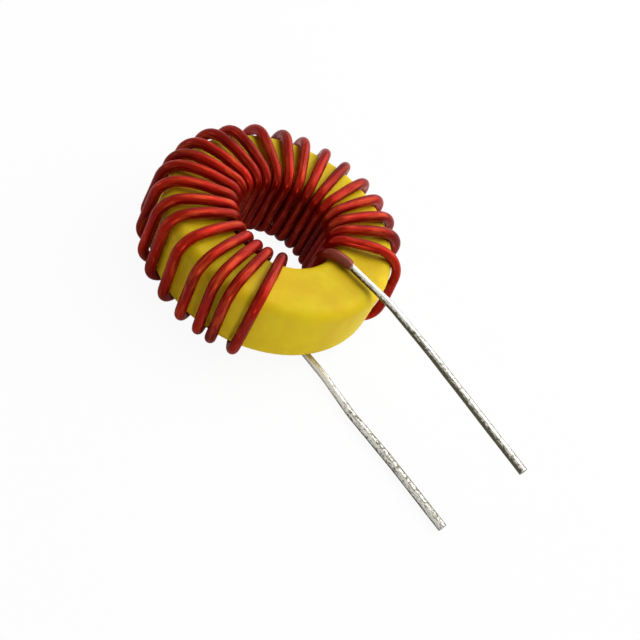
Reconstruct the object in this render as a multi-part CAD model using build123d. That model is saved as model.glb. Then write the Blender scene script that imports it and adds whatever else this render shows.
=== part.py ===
from build123d import *
import math
import os

# A hand-wound ring inductor: a coated powder core, one layer of enamelled wire and two tinned leads.
# Millimetres and degrees. The ring's axis is Z, the floor is Z = 0, and the leads leave along +X.
# Azimuths are counted from +X, counterclockwise seen from above.

# Ring core
core_outer = 17.8        # diameter over the coating
core_bore = 8.5          # diameter of the bore inside the coating
core_height = 5.2
rim_round = 1.2          # rounding of the two edges at the rim
bore_round = 0.7         # rounding of the two edges at the bore
round_steps = 5          # chords in each rounded edge

# Enamelled wire
wire = 0.75              # diameter over the enamel
wire_sides = 8           # flats around the wire
stand_off = 0.1          # air between the wire and the core's flat faces
bore_slack = 0.12        # the same in the bore
rim_slack = 0.27         # and at the rim, where hand-wound turns stand off most
bend_corners = 4         # mitred corners in each bend

# Where the turns lie, in steps from each turn to the next
first_bore_azimuth = 318.2   # first turn, where it comes up out of the bore
bore_steps = [15, 13.5, 13.3, 13.2, 13.2, 12.9, 12.5, 12.5, 12.5, 12.5, 12.5, 12.5,
              12.5, 12.5, 12.5, 12.5, 12.6, 12.6, 12.5, 12.5, 12.5, 15, 19.9]
first_rim_azimuth = 307.8    # first turn, where it goes over the rim
rim_steps = [12.4, 7.8, 9.5, 13.2, 13.7, 9.5, 12.3, 12.2, 9.4, 11.4, 13.4,
             11.5, 15.6, 14.4, 10.5, 12.3, 12.2, 11.4, 11.3, 11.7, 10.8, 16.4]
crowns = [0.1, 0.1, 0.25, 0.3, 0.3, 0.3, 0.35, 0.35, 0.35, 0.35, 0.35, 0.3,
          0.25, 0.1, 0.1, 0.1, 0.1, 0.1, 0.1, 0.2, 0.2, 0.2, 0.3]   # lift of each turn over the top face
rim_lean = 3.0               # how far a turn slants on its way down the rim
last_lean = -7.5             # the last turn slants back towards the leads
last_slack = 0.2             # and stands off the rim by this much more

# Leads, with their places along X counted from the bore pass or from the core's rim
lead = 0.62              # diameter of the tinned wire
tail_reach = 1.35        # bore pass to the bend where the last turn becomes the top lead
tail_side = 1.6          # Y of that bend
tail_round = 2.0         # its radius
top_enamel = 1.9         # bore pass to the end of the enamel on the top lead
top_bow = [(0.6, 2.3), (5.6, 2.38)]      # the top lead's slow bow: distance past the rim and Y
top_reach = 15.8         # rim to the top lead's cut end
top_side = 1.93          # Y of that end
bottom_side = -1.55      # Y of the wire under the core, and of the bottom lead's cut end
bottom_enamel = 1.9      # the enamel on the bottom lead ends this far inside the rim, under the core
bottom_bow = [(-1.4, -1.55), (1.5, -1.63)]  # the same for the bottom lead
bottom_reach = 15.0      # rim to the bottom lead's cut end

# Heights and radii that follow
wire_low = wire / 2
core_low = wire + stand_off
core_high = core_low + core_height
wire_high = core_high + stand_off + wire / 2
rim = core_outer / 2
bore_pass = core_bore / 2 - bore_slack - wire / 2
rim_pass = rim + rim_slack + wire / 2
rim_bend = rim_round + rim_slack + wire / 2
bore_bend = bore_round + stand_off + wire / 2


def polar(radius, azimuth, height):
    turn = math.radians(azimuth)
    return Vector(radius * math.cos(turn), radius * math.sin(turn), height)


def rounded_corner(centre_x, centre_z, radius, start):
    # Points of a quarter circle, counterclockwise from the start angle
    angles = [math.radians(start + 90 * step / round_steps) for step in range(round_steps + 1)]
    return [(centre_x + radius * math.cos(a), centre_z + radius * math.sin(a)) for a in angles]


def ring_core():
    bore = core_bore / 2
    outline = (
        rounded_corner(rim - rim_round, core_high - rim_round, rim_round, 0)
        + rounded_corner(bore + bore_round, core_high - bore_round, bore_round, 90)
        + rounded_corner(bore + bore_round, core_low + bore_round, bore_round, 180)
        + rounded_corner(rim - rim_round, core_low + rim_round, rim_round, 270)
    )
    section = Plane.XZ * make_face(Polyline(*outline, close=True))
    return revolve(section, Axis.Z)


def bend(before, corner, after, radius):
    # Corners of the short runs that go round the outside of one bend's arc
    to_start = (before - corner).normalized()
    to_end = (after - corner).normalized()
    half = math.radians(to_start.get_angle(to_end)) / 2
    centre = corner + (to_start + to_end).normalized() * (radius / math.sin(half))
    reach = radius / math.tan(half)
    first = corner + to_start * reach - centre
    last = corner + to_end * reach - centre
    turn = math.pi - 2 * half
    points = []
    for number in range(bend_corners):
        part = (number + 0.5) / bend_corners
        near = math.sin((1 - part) * turn) / math.sin(turn)
        far = math.sin(part * turn) / math.sin(turn)
        points.append(centre + (first * near + last * far) / math.cos(turn / bend_corners / 2))
    return points


def tail_bend():
    return Vector(bore_pass + tail_reach, tail_side, wire_high)


def top_stations():
    # The top lead's bends and its cut end
    bends = [Vector(rim + past, side, wire_high) for past, side in top_bow]
    return bends + [Vector(rim + top_reach, top_side, wire_high)]


def top_junction():
    # Where the enamel ends, on the straight run from the tail's bend to the lead's first bend
    start, end = tail_bend(), top_stations()[0]
    share = (top_enamel - tail_reach) / (end.X - start.X)
    return start + (end - start) * share


def bottom_junction():
    return Vector(rim - bottom_enamel, bottom_side, wire_low)


def coil_corners():
    # Corners of the wire's path with the radius of each bend, from the bottom lead to the top lead
    corners = [(bottom_junction(), 0)]
    bore_azimuth = first_bore_azimuth
    rim_azimuth = first_rim_azimuth
    foot_azimuth = math.degrees(math.asin(bottom_side / bore_pass))
    for turn, crown in enumerate(crowns):
        last = turn == len(crowns) - 1
        over = rim_pass + (last_slack if last else 0)
        lean = last_lean if last else rim_lean
        bore_top = polar(bore_pass, bore_azimuth, wire_high)
        rim_top = polar(over, rim_azimuth, wire_high)
        corners.append((polar(bore_pass, foot_azimuth, wire_low), bore_bend))
        corners.append((bore_top, bore_bend))
        corners.append(((bore_top + rim_top) / 2 + Vector(0, 0, crown), 0))
        corners.append((rim_top, rim_bend))
        corners.append((polar(over, rim_azimuth + lean, wire_low), rim_bend))
        bore_azimuth -= bore_steps[turn]
        foot_azimuth = bore_azimuth
        rim_azimuth -= 0 if last else rim_steps[turn]
    corners.append((polar(bore_pass, bore_azimuth, wire_low), bore_bend))
    corners.append((polar(bore_pass, bore_azimuth, wire_high), bore_bend))
    corners.append((tail_bend(), tail_round))
    corners.append((top_junction(), 0))
    return corners


def coil_path():
    corners = coil_corners()
    points = [corners[0][0]]
    for (before, _), (corner, radius), (after, _) in zip(corners, corners[1:], corners[2:]):
        points += bend(before, corner, after, radius) if radius else [corner]
    points.append(corners[-1][0])
    return Polyline(*points)


def winding():
    path = coil_path()
    side_angle = 2 * math.pi / wire_sides
    corner_radius = wire / 2 * math.sqrt(side_angle / math.sin(side_angle))  # same copper area as round wire
    flats = RegularPolygon(corner_radius, wire_sides, rotation=180 / wire_sides)
    section = Plane(origin=path @ 0, x_dir=(0, 1, 0), z_dir=path % 0) * flats
    return sweep(section, path=path, transition=Transition.RIGHT)


def tinned_wire(points):
    path = Polyline(*points)
    section = Plane(origin=path @ 0, z_dir=path % 0) * Circle(lead / 2)
    return sweep(section, path=path, transition=Transition.RIGHT)


def top_lead():
    return tinned_wire([top_junction()] + top_stations())


def bottom_lead():
    bends = [Vector(rim + past, side, wire_low) for past, side in bottom_bow]
    return tinned_wire([bottom_junction()] + bends + [Vector(rim + bottom_reach, bottom_side, wire_low)])


os.makedirs("parts", exist_ok=True)
export_step(ring_core(), "parts/core.step")
export_step(winding(), "parts/winding.step")
export_step(top_lead(), "parts/top_lead.step")
export_step(bottom_lead(), "parts/bottom_lead.step")
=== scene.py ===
import math

import bpy
from mathutils import Matrix, Vector, noise


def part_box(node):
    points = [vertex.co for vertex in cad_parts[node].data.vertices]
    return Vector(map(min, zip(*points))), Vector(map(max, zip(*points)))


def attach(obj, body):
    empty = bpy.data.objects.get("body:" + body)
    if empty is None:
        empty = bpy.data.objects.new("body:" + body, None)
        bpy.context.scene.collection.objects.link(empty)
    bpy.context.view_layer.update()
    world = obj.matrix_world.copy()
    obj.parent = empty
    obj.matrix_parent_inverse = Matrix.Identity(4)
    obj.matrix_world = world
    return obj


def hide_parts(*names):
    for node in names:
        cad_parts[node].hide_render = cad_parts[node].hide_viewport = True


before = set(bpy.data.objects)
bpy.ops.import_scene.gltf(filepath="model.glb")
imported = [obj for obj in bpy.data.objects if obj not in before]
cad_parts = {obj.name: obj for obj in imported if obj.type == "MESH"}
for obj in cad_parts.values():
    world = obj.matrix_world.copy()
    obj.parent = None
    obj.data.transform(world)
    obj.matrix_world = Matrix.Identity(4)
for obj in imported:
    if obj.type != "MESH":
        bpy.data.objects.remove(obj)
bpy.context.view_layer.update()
print("frame loaded")

mm = 0.001
ringLow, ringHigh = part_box("core")    # the ring's own height and rim come from the frame
rim = ringHigh.x


def addObject(name, data):
    made = bpy.data.objects.new(name, data)
    bpy.context.scene.collection.objects.link(made)
    return made


# Small helpers for node trees

def feed(tree, socket, value):
    if isinstance(value, bpy.types.NodeSocket):
        tree.links.new(value, socket)
    else:
        socket.default_value = value


def addNode(tree, kind, settings=None, **inputs):
    node = tree.nodes.new(kind)
    for name, value in (settings or {}).items():
        setattr(node, name, value)
    for name, value in inputs.items():
        feed(tree, node.inputs[name.replace("_", " ")], value)
    return node


def addMath(tree, operation, first, second=0.0, third=0.0):
    node = addNode(tree, "ShaderNodeMath", {"operation": operation})
    for socket, value in zip(node.inputs, (first, second, third)):
        feed(tree, socket, value)
    return node.outputs[0]


def addRange(tree, value, fromLow, fromHigh, toLow, toHigh):
    node = addNode(tree, "ShaderNodeMapRange", Value=value,
                   From_Min=fromLow, From_Max=fromHigh, To_Min=toLow, To_Max=toHigh)
    return node.outputs["Result"]


def addAttribute(tree, name):
    return addNode(tree, "ShaderNodeAttribute", {"attribute_name": name})


def addNoise(tree, vector, scale, detail=2.0, roughness=0.5):
    node = addNode(tree, "ShaderNodeTexNoise", Vector=vector, Scale=scale, Detail=detail, Roughness=roughness)
    return node.outputs["Fac"]


def addMix(tree, factor, first, second):
    node = addNode(tree, "ShaderNodeMix", {"data_type": "RGBA"})
    for index, value in ((0, factor), (6, first), (7, second)):    # factor and the two colours
        feed(tree, node.inputs[index], value)
    return node.outputs[2]


def addWireNoise(tree, along, scales, detail, roughness=0.5):
    stretched = addNode(tree, "ShaderNodeMapping", Vector=along, Scale=scales).outputs["Vector"]
    return addNoise(tree, stretched, 1.0, detail, roughness)


def addScaled(tree, vector, scale):
    return addNode(tree, "ShaderNodeVectorMath", {"operation": "SCALE"}, Vector=vector, Scale=scale).outputs[0]


def addBump(tree, height, distance, after=None):
    node = addNode(tree, "ShaderNodeBump", Height=height, Strength=1.0, Distance=distance)
    if after:
        tree.links.new(after, node.inputs["Normal"])
    return node.outputs["Normal"]


def newMaterial(name):
    material = bpy.data.materials.new(name)
    material.use_nodes = True
    tree = material.node_tree
    return material, tree, tree.nodes["Principled BSDF"]


def setShader(tree, shader, **values):
    for name, value in values.items():
        feed(tree, shader.inputs[name.replace("_", " ")], value)


# Finishes: four numbers in a look are a noise's low and high level, and what they turn into

def enamelFinish(look):
    material, tree, shader = newMaterial("redEnamel")
    along = addAttribute(tree, "alongWire").outputs["Vector"]
    streaks = addWireNoise(tree, along, look["streakScales"], 3.0, 0.6)
    patches = addWireNoise(tree, along, look["patchScales"], 2.0)
    tone = addMix(tree, addRange(tree, patches, *look["brightPatches"]), look["deep"], look["bright"])
    # Painted highlights and shade: copper tone in bright streaks along the wire, and deep tone in dark streaks
    # beside them
    tone = addMix(tree, addRange(tree, streaks, *look["copperHighlightStreaks"]), tone, look["copper"])
    tone = addMix(tree, addRange(tree, streaks, *look["shadeStreaks"]), tone, look["deep"])
    ragged = addAttribute(tree, "toEnd").outputs["Fac"]
    ragged = addMath(tree, "ADD", ragged, addRange(tree, patches, *look["patchyEdge"]))
    ragged = addMath(tree, "ADD", ragged, addRange(tree, streaks, *look["streakyEdge"]))
    tone = addMix(tree, addRange(tree, ragged, *look["burntPart"]), tone, look["burnt"])
    tone = addMix(tree, addRange(tree, ragged, *look["barePart"]), tone, look["bare"])
    bump = addBump(tree, addWireNoise(tree, along, look["fineScales"], 3.0), look["bump"])
    setShader(tree, shader, Base_Color=tone, Roughness=addRange(tree, streaks, *look["roughness"]),
              Metallic=look["metallic"], Specular_IOR_Level=look["specular"], Specular_Tint=look["edge"],
              Coat_Weight=look["coat"], Coat_Roughness=look["coatRoughness"], Normal=bump)
    return material


def coatingFinish(look):
    material, tree, shader = newMaterial("yellowCoating")
    place = addNode(tree, "ShaderNodeTexCoord").outputs["Object"]
    cloud = addNoise(tree, place, look["cloudScale"], 3.0, 0.55)
    mottle = addNoise(tree, place, look["mottleScale"], 4.0, 0.6)
    peel = addNoise(tree, place, look["peelScale"], 2.0)
    tone = addMix(tree, addRange(tree, cloud, *look["brightClouds"]), look["deep"], look["bright"])
    tone = addMix(tree, addRange(tree, mottle, *look["paleMottle"]), tone, look["pale"])
    bump = addBump(tree, peel, look["bump"], after=addBump(tree, cloud, look["swell"]))
    setShader(tree, shader, Base_Color=tone, Roughness=addRange(tree, mottle, *look["roughness"]),
              Specular_IOR_Level=look["specular"], Normal=bump)
    return material


def tinFinish(look):
    material, tree, shader = newMaterial("tinnedWire")
    along = addAttribute(tree, "alongWire").outputs["Vector"]
    streaks = addWireNoise(tree, along, look["streakScales"], 4.0, 0.65)
    grains = addWireNoise(tree, along, look["grainScales"], 3.0, 0.65)
    distance = addNode(tree, "ShaderNodeSeparateXYZ", Vector=along).outputs["Z"]
    # Painted shade: one side of each lead takes the dark tone. Streaks and grains break its edge into specks,
    # and it fades in away from the coil
    paintedShade = addAttribute(tree, "paintedShade").outputs["Fac"]
    paintedShade = addMath(tree, "ADD", paintedShade, addRange(tree, streaks, *look["streakyShadeEdge"]))
    paintedShade = addMath(tree, "ADD", paintedShade, addRange(tree, grains, *look["grainyShadeSpecks"]))
    paintedShade = addMath(tree, "SUBTRACT", paintedShade, addRange(tree, distance, *look["shadeFadeIn"]))
    tone = addMix(tree, addRange(tree, paintedShade, *look["shadeAndSpeckPart"]), look["bright"], look["shadeAndSpecks"])
    bump = addBump(tree, grains, look["bump"], after=addBump(tree, streaks, look["ridge"]))
    setShader(tree, shader, Base_Color=tone, Roughness=addRange(tree, streaks, *look["roughness"]),
              Metallic=1.0, Normal=bump)
    return material


# The ring core

ringShape = {
    "bore": 4.25 * mm,    # radius
    "rimRound": 1.0 * mm,    # the rim's upper edge
    "footRound": 0.95 * mm,    # and its lower edge
    "boreRound": 0.7 * mm,
    "roundSteps": 10,
    "flatSteps": 8,
    "around": 240,
    "unevenness": 0.012 * mm,
    "unevenScale": 260,
}
coatingLook = {
    "deep": (0.74, 0.49, 0.006, 1),
    "bright": (0.83, 0.62, 0.009, 1),
    "pale": (0.85, 0.67, 0.035, 1),
    "cloudScale": 220,
    "mottleScale": 900,
    "peelScale": 2600,
    "brightClouds": (0.35, 0.65, 0, 1),
    "paleMottle": (0.45, 0.75, 0, 0.35),
    "roughness": (0.3, 0.7, 0.48, 0.62),
    "specular": 0.13,
    "bump": 0.003 * mm,    # fine orange peel
    "swell": 0.03 * mm,    # broad unevenness
}


def ringOutline(shape):
    bore, rimRound, boreRound = shape["bore"], shape["rimRound"], shape["boreRound"]
    low, high = ringLow.z, ringHigh.z
    corners = [
        (rim - shape["footRound"], low + shape["footRound"], shape["footRound"], -90),
        (rim - rimRound, high - rimRound, rimRound, 0),
        (bore + boreRound, high - boreRound, boreRound, 90),
        (bore + boreRound, low + boreRound, boreRound, 180),
    ]
    outline = []
    for index, (x, z, radius, start) in enumerate(corners):
        for step in range(shape["roundSteps"] + 1):
            angle = math.radians(start + 90 * step / shape["roundSteps"])
            outline.append((x + radius * math.cos(angle), z + radius * math.sin(angle)))
        nextX, nextZ, nextRadius, nextStart = corners[(index + 1) % 4]
        angle = math.radians(nextStart)
        end = (nextX + nextRadius * math.cos(angle), nextZ + nextRadius * math.sin(angle))
        begin = outline[-1]
        for step in range(1, shape["flatSteps"]):
            share = step / shape["flatSteps"]
            outline.append((begin[0] + (end[0] - begin[0]) * share, begin[1] + (end[1] - begin[1]) * share))
    return outline


def makeRing(shape, look):
    outline = ringOutline(shape)
    count, around = len(outline), shape["around"]
    midRadius, midHeight = 0.5 * (rim + shape["bore"]), 0.5 * (ringLow.z + ringHigh.z)
    vertices = []
    for step in range(around):
        angle = 2 * math.pi * step / around
        middle = Vector((midRadius * math.cos(angle), midRadius * math.sin(angle), midHeight))
        for x, z in outline:
            point = Vector((x * math.cos(angle), x * math.sin(angle), z))
            swell = noise.noise(point * shape["unevenScale"]) * shape["unevenness"]
            vertices.append(point + (point - middle).normalized() * swell)
    faces = []
    for step in range(around):
        here, there = step * count, (step + 1) % around * count
        for index in range(count):
            after = (index + 1) % count
            faces.append((here + index, there + index, there + after, here + after))
    mesh = bpy.data.meshes.new("ringCore")
    mesh.from_pydata(vertices, [], faces)
    mesh.shade_smooth()
    mesh.materials.append(coatingFinish(look))
    piece = addObject("ringCore", mesh)
    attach(piece, "root")
    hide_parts("core")
    print("ring core", len(mesh.polygons), "faces")


# Wire that follows a path

wireInputs = {
    "Radius": "Float",
    "Spacing": "Float",    # length of each straight piece
    "Sides": "Int",
    "Bend steps": "Int",
    "Waver": "Float",    # how far the line strays, and how finely
    "Waver scale": "Float",
    "Lumps": "Float",    # how much the thickness varies, and how finely
    "Lump scale": "Float",
    "End length": "Float",    # over this length at its ends, the wire thins to this share of its thickness
    "End share": "Float",
    "Dull side": "Float",    # where around the wire its painted shade bands lie, how many, how strong
    "Dull bands": "Float",
    "Dull depth": "Float",
    "Dull level": "Float",
    "Seed": "Float",
}


def namedNumber(tree, name):
    node = addNode(tree, "GeometryNodeInputNamedAttribute", {"data_type": "FLOAT"}, Name=name)
    return node.outputs["Attribute"]


def storeOnPoints(tree, mesh, name, kind, value):
    node = addNode(tree, "GeometryNodeStoreNamedAttribute", {"data_type": kind, "domain": "POINT"},
                   Geometry=mesh, Name=name, Value=value)
    return node.outputs["Geometry"]


def seededNoise(tree, given, scale, detail):
    place = tree.nodes.new("GeometryNodeInputPosition").outputs[0]
    return addNode(tree, "ShaderNodeTexNoise", {"noise_dimensions": "4D"},
                   Vector=place, W=given["Seed"], Scale=scale, Detail=detail)


def wireLine(tree, given):
    # The corners become one line with each bend rounded by the corner's own radius, and a slight waver
    line = addNode(tree, "GeometryNodeMeshToCurve", Mesh=given["Corners"]).outputs["Curve"]
    line = addNode(tree, "GeometryNodeFilletCurve", {"mode": "POLY"}, Curve=line,
                   Radius=namedNumber(tree, "bend"), Count=given["Bend steps"]).outputs["Curve"]
    line = addNode(tree, "GeometryNodeResampleCurve", {"mode": "LENGTH"},
                   Curve=line, Length=given["Spacing"]).outputs["Curve"]
    centred = addNode(tree, "ShaderNodeVectorMath", {"operation": "SUBTRACT"},
                      Vector=seededNoise(tree, given, given["Waver scale"], 1.0).outputs["Color"])
    centred.inputs[1].default_value = (0.5, 0.5, 0.5)
    waver = addScaled(tree, centred.outputs[0], given["Waver"])
    return addNode(tree, "GeometryNodeSetPosition", Geometry=line, Offset=waver).outputs[0]


def wireThickness(tree, given, toEnd):
    lumps = seededNoise(tree, given, given["Lump scale"], 2.0).outputs["Fac"]
    swell = addMath(tree, "MULTIPLY_ADD", addMath(tree, "SUBTRACT", lumps, 0.5), given["Lumps"], 1.0)
    thickness = addMath(tree, "MULTIPLY", swell, given["Radius"])
    thickness = addMath(tree, "MULTIPLY", thickness, namedNumber(tree, "taper"))
    thin = addNode(tree, "ShaderNodeMapRange", {"interpolation_type": "SMOOTHERSTEP"}, Value=toEnd,
                   From_Max=given["End length"], To_Min=given["End share"])
    return addMath(tree, "MULTIPLY", thickness, thin.outputs["Result"])


def wireTree(name, material):
    tree = bpy.data.node_groups.new(name, "GeometryNodeTree")
    face = tree.interface
    face.new_socket("Corners", in_out="INPUT", socket_type="NodeSocketGeometry")
    for label, kind in wireInputs.items():
        face.new_socket(label, in_out="INPUT", socket_type="NodeSocket" + kind)
    face.new_socket("Wire", in_out="OUTPUT", socket_type="NodeSocketGeometry")
    given = tree.nodes.new("NodeGroupInput").outputs
    line = wireLine(tree, given)

    # Distance along the wire and to its nearer end; both are kept for the finish
    along = tree.nodes.new("GeometryNodeSplineParameter").outputs["Length"]
    whole = tree.nodes.new("GeometryNodeSplineLength").outputs["Length"]
    toEnd = addMath(tree, "MINIMUM", along, addMath(tree, "SUBTRACT", whole, along))
    thickness = wireThickness(tree, given, toEnd)
    line = addNode(tree, "GeometryNodeSetCurveRadius", Curve=line, Radius=thickness).outputs[0]
    rail = tree.nodes.new("GeometryNodeCaptureAttribute")
    for label, value in (("along", along), ("toEnd", toEnd)):
        rail.capture_items.new("FLOAT", label)
        tree.links.new(value, rail.inputs[label])
    tree.links.new(line, rail.inputs["Geometry"])

    # A round section, which keeps each point's place around the wire
    circle = addNode(tree, "GeometryNodeCurvePrimitiveCircle", Resolution=given["Sides"], Radius=1.0)
    section = tree.nodes.new("GeometryNodeCaptureAttribute")
    section.capture_items.new("VECTOR", "side")
    tree.links.new(circle.outputs["Curve"], section.inputs["Geometry"])
    tree.links.new(tree.nodes.new("GeometryNodeInputPosition").outputs[0], section.inputs["side"])
    swept = addNode(tree, "GeometryNodeCurveToMesh", Curve=rail.outputs["Geometry"],
                    Profile_Curve=section.outputs["Geometry"], Fill_Caps=True,
                    Scale=tree.nodes.new("GeometryNodeInputRadius").outputs[0])

    # Places along the wire for the noises, and painted shade bands around it
    side = addScaled(tree, section.outputs["side"], given["Radius"])
    around = addNode(tree, "ShaderNodeSeparateXYZ", Vector=side).outputs
    alongWire = addNode(tree, "ShaderNodeCombineXYZ", X=around["X"], Y=around["Y"], Z=rail.outputs["along"])
    # Painted shade: a cosine of the angle around the section makes the wire darker on a chosen side
    angle = addMath(tree, "ARCTAN2", around["Y"], around["X"])
    angle = addMath(tree, "SUBTRACT", angle, given["Dull side"])
    paintedShade = addMath(tree, "COSINE", addMath(tree, "MULTIPLY", angle, given["Dull bands"]))
    paintedShade = addMath(tree, "MULTIPLY_ADD", paintedShade, given["Dull depth"], given["Dull level"])
    wire = storeOnPoints(tree, swept.outputs["Mesh"], "alongWire", "FLOAT_VECTOR", alongWire.outputs[0])
    wire = storeOnPoints(tree, wire, "toEnd", "FLOAT", rail.outputs["toEnd"])
    wire = storeOnPoints(tree, wire, "paintedShade", "FLOAT", paintedShade)
    wire = addNode(tree, "GeometryNodeSetShadeSmooth", Geometry=wire).outputs[0]
    wire = addNode(tree, "GeometryNodeRealizeInstances", Geometry=wire).outputs[0]
    wire = addNode(tree, "GeometryNodeSetMaterial", Geometry=wire, Material=material).outputs[0]
    tree.links.new(wire, tree.nodes.new("NodeGroupOutput").inputs["Wire"])
    return tree


def sweepWire(name, corners, settings, material):
    mesh = bpy.data.meshes.new(name)
    edges = [(index, index + 1) for index in range(len(corners) - 1)]
    mesh.from_pydata([point for point, bend, taper in corners], edges, [])
    for label, column in (("bend", 1), ("taper", 2)):
        attribute = mesh.attributes.new(label, "FLOAT", "POINT")
        for item, corner in zip(attribute.data, corners):
            item.value = corner[column]
    piece = addObject(name, mesh)
    tree = wireTree(name + "Tree", material)
    modifier = piece.modifiers.new("wire", "NODES")
    modifier.node_group = tree
    for item in tree.interface.items_tree:
        if item.in_out == "INPUT" and item.name in settings:
            modifier[item.identifier] = settings[item.name]
    depsgraph = bpy.context.evaluated_depsgraph_get()
    wire = bpy.data.meshes.new_from_object(piece.evaluated_get(depsgraph), depsgraph=depsgraph)
    piece.modifiers.remove(modifier)
    piece.data = wire
    for polygon in wire.polygons:
        if len(polygon.vertices) > 4:
            polygon.use_smooth = False    # the cut ends
    print(name, len(wire.polygons), "faces")
    return piece


# The winding: azimuths are counted in degrees from +X, counterclockwise seen from above

coilShape = {
    "wire": 0.375 * mm,    # radius of the wire that the coil's places are counted with
    "standOff": 0.1 * mm,    # air between the wire and the ring's flat faces
    "boreSlack": 0.12 * mm,    # and in the bore, and at the rim
    "rimSlacks": [0.06, 0.09, 0.06, 0.13, 0.06, 0.06, 0.17, 0.22, 0.16, 0.06, 0.11, 0.21,
                  0.07, 0.46, 0.46, 0.39, 0.28, 0.30, 0.35, 0.18, 0.20, 0.20, 0.08],    # mm
    "firstBoreAzimuth": 318.2,
    "boreSteps": [15, 13.5, 13.3, 13.2, 13.2, 12.9, 12.5, 12.5, 12.5, 12.5, 12.5, 12.5,
                  12.5, 12.5, 12.5, 12.5, 12.6, 12.6, 12.5, 12.5, 12.5, 15, 19.9],
    "firstRimAzimuth": 307.8,
    "rimSteps": [12.4, 7.8, 9.5, 13.2, 13.7, 9.5, 12.3, 12.2, 9.4, 11.4, 13.4,
                 11.5, 15.6, 14.4, 10.5, 12.3, 12.0, 12.6, 12.1, 11.9, 11.7, 15.0],
    "crowns": [0.1, 0.1, 0.25, 0.3, 0.3, 0.3, 0.35, 0.35, 0.35, 0.35, 0.35, 0.3,
               0.25, 0.1, 0.1, 0.1, 0.1, 0.1, 0.1, 0.2, 0.2, 0.2, 0.3],    # mm
    "crownBend": 6 * mm,    # radius of the bend over the top face
    "rimLeans": [0.8, 2.2, 3.3, 2.8, 3.8, 4.2] + [3.0] * 16 + [-6.0],
    "moreBend": [0.25] * 8 + [0.35] * 12 + [0.45, 0.5, 0.85],    # mm, upper bends beyond the rim's rounding
    "lastBulge": 0.2 * mm,    # the last turn bows out low on the rim
    "lastBulgeAt": 0.68,    # share of the way down
    "lastBulgeBend": 2 * mm,
    "lastFoot": 0.15 * mm,    # and its foot stands off by this much more
    "tailBend": (1.35 * mm, 1.6 * mm),    # past the bore pass, and to the side
    "tailRound": 2.0 * mm,
    "topEnamel": 2.15 * mm,
    "bottomSide": -1.55 * mm,
    "bottomEnamel": 1.9 * mm,
    "boreShare": 0.94,    # thickness in the bore, where the turns are pressed together
    "lastShare": 0.88,    # and of the last turn down the rim
}
coilWire = {
    "Radius": 0.41 * mm,
    "Spacing": 0.17 * mm,
    "Sides": 24,
    "Bend steps": 12,
    "Waver": 0.05 * mm,
    "Waver scale": 350.0,
    "Lumps": 0.03,
    "Lump scale": 900.0,
    "End length": 0.45 * mm,
    "End share": 0.72,
    "Seed": 3.0,
}
enamelLook = {
    "deep": (0.15, 0.003, 0.002, 1),
    "bright": (0.43, 0.012, 0.004, 1),
    "copper": (0.58, 0.085, 0.020, 1),
    "burnt": (0.19, 0.060, 0.045, 1),
    "bare": (0.50, 0.44, 0.36, 1),
    "edge": (0.80, 0.22, 0.12, 1),    # tint of the enamel's own reflection
    "streakScales": (2600, 2600, 450),    # across the wire, and along it
    "patchScales": (300, 300, 160),
    "fineScales": (2500, 2500, 900),
    "brightPatches": (0.35, 0.65, 0, 1),
    # copper tone under the enamel, laid in streaks as painted highlights, and deep tone in streaks as painted
    # shade
    "copperHighlightStreaks": (0.5, 0.7, 0, 0.6),
    "shadeStreaks": (0.3, 0.46, 0.7, 0),
    "patchyEdge": (0.3, 0.7, -0.3 * mm, 0.3 * mm),    # the enamel's ragged end
    "streakyEdge": (0.3, 0.7, -0.15 * mm, 0.15 * mm),
    "burntPart": (0.8 * mm, 3.4 * mm, 0.92, 0),    # distances from the end, and shares of the colour there
    "barePart": (0.1 * mm, 0.22 * mm, 1, 0),
    "roughness": (0.3, 0.7, 0.18, 0.32),
    "metallic": 0.3,
    "specular": 0.20,
    "coat": 0.02,
    "coatRoughness": 0.1,
    "bump": 0.011 * mm,
}
leadShape = {
    "topBow": [(0.6 * mm, 2.3 * mm), (5.6 * mm, 2.30 * mm)],    # past the rim, and to the side
    "topEnd": (16.02 * mm, 1.89 * mm),
    "bottomBow": [(-1.4 * mm, -1.55 * mm), (1.2 * mm, -1.46 * mm),
                  (4.8 * mm, -1.70 * mm), (9.0 * mm, -1.53 * mm)],
    "bottomEnd": (15.22 * mm, -1.57 * mm),
    "bend": 10 * mm,
    "thin": 0.86,    # share of the thickness where the enamel ends
    "topFull": 1.02,    # and further out on each lead
    "bottomFull": 1.08,
    "fullAfter": 11 * mm,    # reached at this distance
}

wireLow = coilShape["wire"]
wireHigh = ringHigh.z + coilShape["standOff"] + coilShape["wire"]
borePass = ringShape["bore"] - coilShape["boreSlack"] - coilShape["wire"]


def polar(radius, azimuth, height):
    turn = math.radians(azimuth)
    return Vector((radius * math.cos(turn), radius * math.sin(turn), height))


def tailBend():
    past, side = coilShape["tailBend"]
    return Vector((borePass + past, side, wireHigh))


def leadStations(bow, end, height):
    return [Vector((rim + past, side, height)) for past, side in bow + [end]]


def topStations():
    return leadStations(leadShape["topBow"], leadShape["topEnd"], wireHigh)


def bottomStations():
    return leadStations(leadShape["bottomBow"], leadShape["bottomEnd"], wireLow)


def topJunction():
    start, end = tailBend(), topStations()[0]
    return start.lerp(end, (borePass + coilShape["topEnamel"] - start.x) / (end.x - start.x))


def bottomJunction():
    return Vector((rim - coilShape["bottomEnamel"], coilShape["bottomSide"], wireLow))


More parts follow.
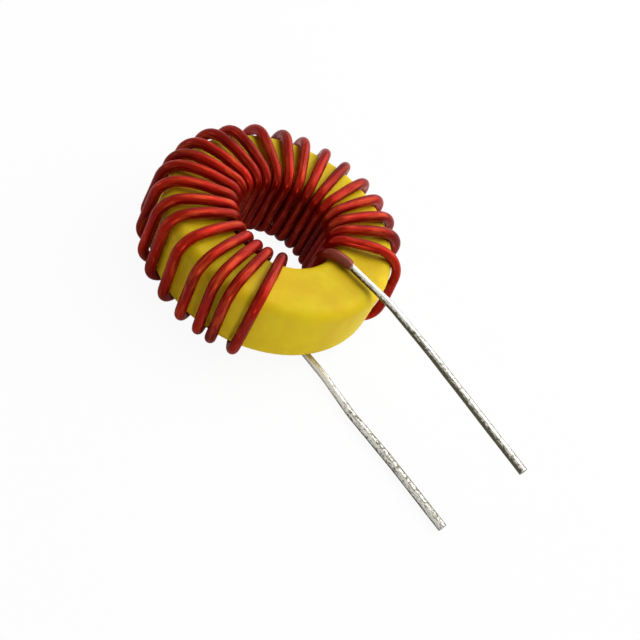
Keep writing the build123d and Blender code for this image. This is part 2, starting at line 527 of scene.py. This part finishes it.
def coilCorners():
    # Each corner of the wire's path has its place, the radius of its bend and its share of the thickness
    shape = coilShape
    boreBend = ringShape["boreRound"] + shape["standOff"] + shape["wire"]
    boreAzimuth, rimAzimuth = shape["firstBoreAzimuth"], shape["firstRimAzimuth"]
    footAzimuth = math.degrees(math.asin(shape["bottomSide"] / borePass))
    boreShare = shape["boreShare"]
    corners = [(bottomJunction(), 0, 1)]
    for turn, crown in enumerate(shape["crowns"]):
        last = turn == len(shape["crowns"]) - 1
        standOff = shape["rimSlacks"][turn] * mm + shape["wire"]
        rimBend = ringShape["rimRound"] + standOff
        over = rim + standOff
        foot = over + (shape["lastFoot"] if last else 0)
        boreTop, rimTop = polar(borePass, boreAzimuth, wireHigh), polar(over, rimAzimuth, wireHigh)
        rimShare = shape["lastShare"] if last else 1
        corners.append((polar(borePass, footAzimuth, wireLow), boreBend, boreShare))
        corners.append((boreTop, boreBend, boreShare))
        corners.append(((boreTop + rimTop) / 2 + Vector((0, 0, crown * mm)), shape["crownBend"], 1))
        corners.append((rimTop, rimBend + shape["moreBend"][turn] * mm, rimShare))
        rimFoot = polar(foot, rimAzimuth + shape["rimLeans"][turn], wireLow)
        if last:
            lower = rimTop.lerp(rimFoot, shape["lastBulgeAt"])
            outward = Vector((lower.x, lower.y, 0)).normalized()
            corners.append((lower + outward * shape["lastBulge"], shape["lastBulgeBend"], rimShare))
        corners.append((rimFoot, rimBend, rimShare))
        boreAzimuth -= shape["boreSteps"][turn]
        footAzimuth = boreAzimuth
        rimAzimuth -= 0 if last else shape["rimSteps"][turn]
    corners.append((polar(borePass, boreAzimuth, wireLow), boreBend, boreShare))
    corners.append((polar(borePass, boreAzimuth, wireHigh), boreBend, boreShare))
    corners.append((tailBend(), shape["tailRound"], boreShare))
    corners.append((topJunction(), 0, 1))
    return corners


def makeWinding():
    piece = sweepWire("enamelledCoil", coilCorners(), coilWire, enamelFinish(enamelLook))
    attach(piece, "root")
    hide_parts("winding")


# The tinned leads

leadWire = {
    "Radius": 0.31 * mm,
    "Spacing": 0.12 * mm,
    "Sides": 24,
    "Bend steps": 12,
    "Waver": 0.05 * mm,
    "Waver scale": 160.0,
    "Lumps": 0.10,
    "Lump scale": 420.0,
    "End length": 0.1 * mm,
    "End share": 1.0,
    "Dull bands": 2.0,
}
# Painted shade: the top lead is dark on one side and light on the other; the bottom lead is darker at both
# flanks with a light middle
topLead = {**leadWire, "Dull side": math.radians(17), "Dull depth": 1.5, "Dull level": 1.1, "Seed": 8.0}
bottomLead = {**leadWire, "Dull side": math.radians(52), "Dull depth": 0.8, "Dull level": 0.35, "Seed": 21.0}
tinLook = {
    # dark tone: painted shade on the leads, and their dark grain specks
    "shadeAndSpecks": (0.085, 0.078, 0.050, 1),
    "bright": (0.62, 0.60, 0.55, 1),
    "streakScales": (3600, 3600, 500),    # across the wire, and along it
    "grainScales": (11000, 11000, 4000),
    "streakyShadeEdge": (0.3, 0.7, -0.5, 0.5),    # what streaks and grains add to the painted shade bands
    "grainyShadeSpecks": (0.35, 0.65, -1.1, 1.1),
    "shadeFadeIn": (3.5 * mm, 7 * mm, 1.1, 0),    # distances from the coil, and how much painted shade they take away
    "shadeAndSpeckPart": (-0.6, 0.9, 0, 1),
    "roughness": (0.35, 0.7, 0.22, 0.42),
    "bump": 0.006 * mm,    # grains
    "ridge": 0.015 * mm,    # streaks
}


def makeLead(name, node, stations, full, settings, material):
    start = stations[0]
    corners = []
    for index, point in enumerate(stations):
        share = min(1, (point.x - start.x) / leadShape["fullAfter"])
        taper = leadShape["thin"] + (full - leadShape["thin"]) * share
        bend = leadShape["bend"] if 0 < index < len(stations) - 1 else 0
        corners.append((point, bend, taper))
    piece = sweepWire(name, corners, settings, material)
    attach(piece, "root")
    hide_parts(node)


def makeLeads():
    tin = tinFinish(tinLook)
    topPath, bottomPath = [topJunction()] + topStations(), [bottomJunction()] + bottomStations()
    makeLead("topTinnedLead", "top_lead", topPath, leadShape["topFull"], topLead, tin)
    makeLead("bottomTinnedLead", "bottom_lead", bottomPath, leadShape["bottomFull"], bottomLead, tin)


# Floor, light and camera

studio = {
    "floorSize": 1.2,
    "floorDrop": 0.06 * mm,
    "floorColour": (0.93, 0.93, 0.93, 1),
    "floorRoughness": 0.9,
    "floorSpecular": 0.1,
    "floorLift": 0.94,    # share of plain white in the floor as the camera sees it
    "floorGlow": 0.15,    # and as reflections see it, so that the hole under the ring stays dim in them
    "worldLight": 0.07,
}
lamps = [
    {"name": "skyPanel", "place": (0.03, 0.15, 0.20), "size": 0.36, "power": 0.99},
    {"name": "keyPanel", "place": (0.02, 0.12, 0.21), "size": 0.06, "power": 0.055},
    {"name": "sidePanel", "place": (0.21, -0.12, 0.025), "size": 0.05, "power": 0.11},
    {"name": "frontPanel", "place": (-0.14, -0.16, 0.025), "size": 0.05, "power": 0.035},
]
cameraSetup = {
    "place": (38.49 * mm, -65.36 * mm, 73.96 * mm),
    "aim": (7.34 * mm, -1.15 * mm, 3.49 * mm),
    "roll": 32.4,
    "lens": 78.6,
    "clip": (1 * mm, 10),
}


def seenRays(tree, bySight, byReflection):
    path = addNode(tree, "ShaderNodeLightPath")
    sight = addMath(tree, "MULTIPLY", path.outputs["Is Camera Ray"], bySight)
    reflection = addMath(tree, "MAXIMUM", path.outputs["Is Glossy Ray"], path.outputs["Is Transmission Ray"])
    reflection = addMath(tree, "MULTIPLY", reflection, byReflection)
    return addMath(tree, "MAXIMUM", sight, reflection)


def makeFloor():
    size, height = studio["floorSize"], -studio["floorDrop"]
    mesh = bpy.data.meshes.new("floor")
    corners = [(-size, -size, height), (size, -size, height), (size, size, height), (-size, size, height)]
    mesh.from_pydata(corners, [], [(0, 1, 2, 3)])
    floor = addObject("floor", mesh)
    material, tree, shader = newMaterial("paleFloor")
    setShader(tree, shader, Base_Color=studio["floorColour"], Roughness=studio["floorRoughness"],
              Specular_IOR_Level=studio["floorSpecular"])
    white = addNode(tree, "ShaderNodeEmission", Color=(1, 1, 1, 1), Strength=1.0)
    blend = addNode(tree, "ShaderNodeMixShader", Fac=seenRays(tree, studio["floorLift"], studio["floorGlow"]))
    tree.links.new(shader.outputs["BSDF"], blend.inputs[1])
    tree.links.new(white.outputs["Emission"], blend.inputs[2])
    tree.links.new(blend.outputs["Shader"], tree.nodes["Material Output"].inputs["Surface"])
    mesh.materials.append(material)


def makeLights():
    world = bpy.data.worlds.new("studioWorld")
    bpy.context.scene.world = world
    world.use_nodes = True
    tree = world.node_tree
    strength = addRange(tree, seenRays(tree, 1, 1), 0, 1, studio["worldLight"], 1.0)
    setShader(tree, tree.nodes["Background"], Color=(1, 1, 1, 1), Strength=strength)

    for lamp in lamps:
        light = bpy.data.lights.new(lamp["name"], "AREA")
        light.size = lamp["size"]
        light.energy = lamp["power"]
        holder = addObject(lamp["name"], light)
        place = Vector(lamp["place"])
        holder.location = place
        holder.rotation_euler = (-place).to_track_quat("-Z", "Y").to_euler()    # aimed at the origin
    print("floor and lights ready")


def makeCamera():
    data = bpy.data.cameras.new("photoCamera")
    data.lens = cameraSetup["lens"]
    data.clip_start, data.clip_end = cameraSetup["clip"]
    camera = addObject("photoCamera", data)
    place, aim = Vector(cameraSetup["place"]), Vector(cameraSetup["aim"])
    level = (aim - place).to_track_quat("-Z", "Y").to_matrix().to_4x4()
    roll = Matrix.Rotation(math.radians(cameraSetup["roll"]), 4, "Z")
    camera.matrix_world = Matrix.Translation(place) @ level @ roll
    bpy.context.scene.camera = camera
    bpy.context.scene.view_settings.view_transform = "Standard"
    print("camera ready")


makeRing(ringShape, coatingLook)
makeWinding()
makeLeads()
makeFloor()
makeLights()
makeCamera()
